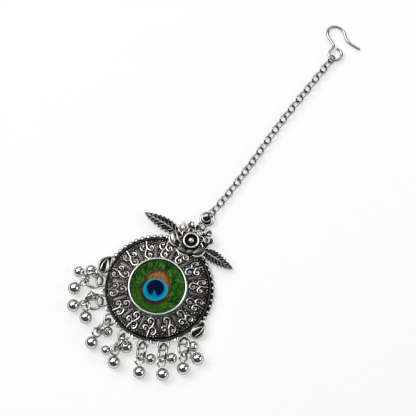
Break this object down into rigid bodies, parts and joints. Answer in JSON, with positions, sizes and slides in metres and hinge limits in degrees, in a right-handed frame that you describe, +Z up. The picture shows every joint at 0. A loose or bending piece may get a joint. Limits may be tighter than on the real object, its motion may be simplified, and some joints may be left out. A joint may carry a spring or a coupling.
{
  "type": "maang tikka",
  "caption": "Oxidised silver maang tikka with a round peacock-feather glass pendant, a flower crest, a fringe of ball drops, and a link chain that ends in a hair hook.",
  "frame": {"origin": "on the surface the piece lies on, under the middle of its bounding box", "axes": "+Z up out of the surface, +Y from the pendant along the chain to the hook, +X to the right of the pendant seen from above"},
  "size_m": [0.0568, 0.1526, 0.0101],
  "materials": {
    "dark_silver": "oxidised, dark in the recesses, polished on the high spots",
    "bright_silver": "polished, slightly warm silver plate",
    "glass": "clear, polished dome",
    "print": "printed peacock-feather eye"
  },
  "bodies": {
    "root": {"cabochon": "glass", "chain": "bright_silver", "drop_1_1": "bright_silver", "drop_1_2": "bright_silver", "drop_1_3": "bright_silver", "drop_2_4": "bright_silver", "drop_2_5": "bright_silver", "drop_2_6": "bright_silver", "drop_3_7": "bright_silver", "drop_3_8": "bright_silver", "drop_4_10": "bright_silver", "drop_4_11": "bright_silver", "drop_4_9": "bright_silver", "drop_5_12": "bright_silver", "drop_5_13": "bright_silver", "drop_6_14": "bright_silver", "drop_6_15": "bright_silver", "drop_7_16": "bright_silver", "drop_7_17": "bright_silver", "drop_7_18": "bright_silver", "feather_card": "print", "hook": "bright_silver", "jump_ring_1": "bright_silver", "jump_ring_2": "bright_silver", "jump_ring_3": "bright_silver", "jump_ring_4": "bright_silver", "jump_ring_5": "bright_silver", "jump_ring_6": "bright_silver", "jump_ring_7": "bright_silver", "pendant": "dark_silver"}
  },
  "joints": []
}
